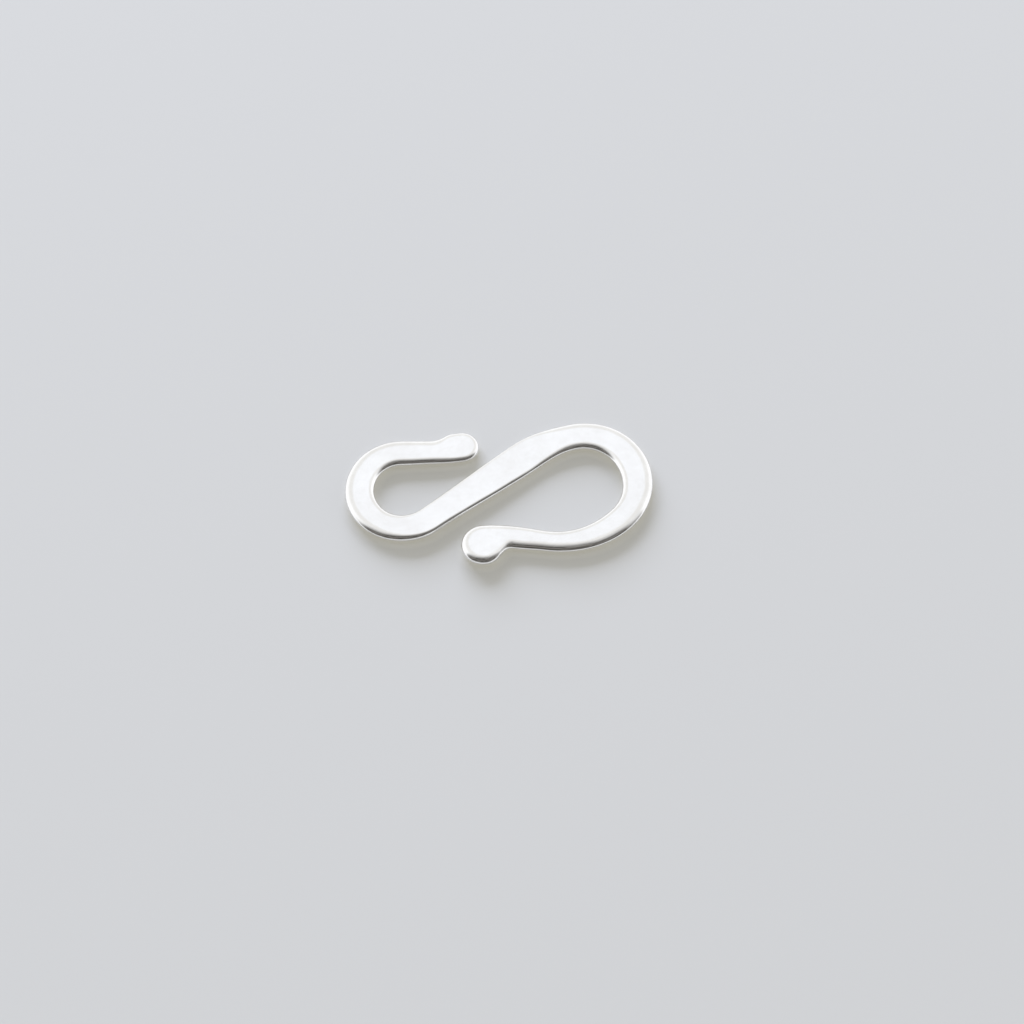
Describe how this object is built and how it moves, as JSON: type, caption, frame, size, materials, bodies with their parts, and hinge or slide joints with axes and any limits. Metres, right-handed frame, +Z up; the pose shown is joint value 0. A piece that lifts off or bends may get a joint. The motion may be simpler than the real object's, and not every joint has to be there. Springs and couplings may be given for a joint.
{
  "type": "s hook clasp",
  "caption": "Flat forged S hook clasp of silver wire with a small bow, a large bow and flattened ball ends, for closing a chain, cord or bracelet.",
  "frame": {"origin": "middle of the clasp's outline, on its flat underside", "axes": "+X along the clasp's length towards the large bow, +Y across it towards the small bow's arm, +Z up out of its flat upper face"},
  "size_m": [0.02, 0.0102, 0.0007],
  "materials": {
    "silver": "bright polished sterling silver with fine tumbling marks and soft rims"
  },
  "bodies": {
    "root": {"s_hook": "silver"}
  },
  "joints": []
}
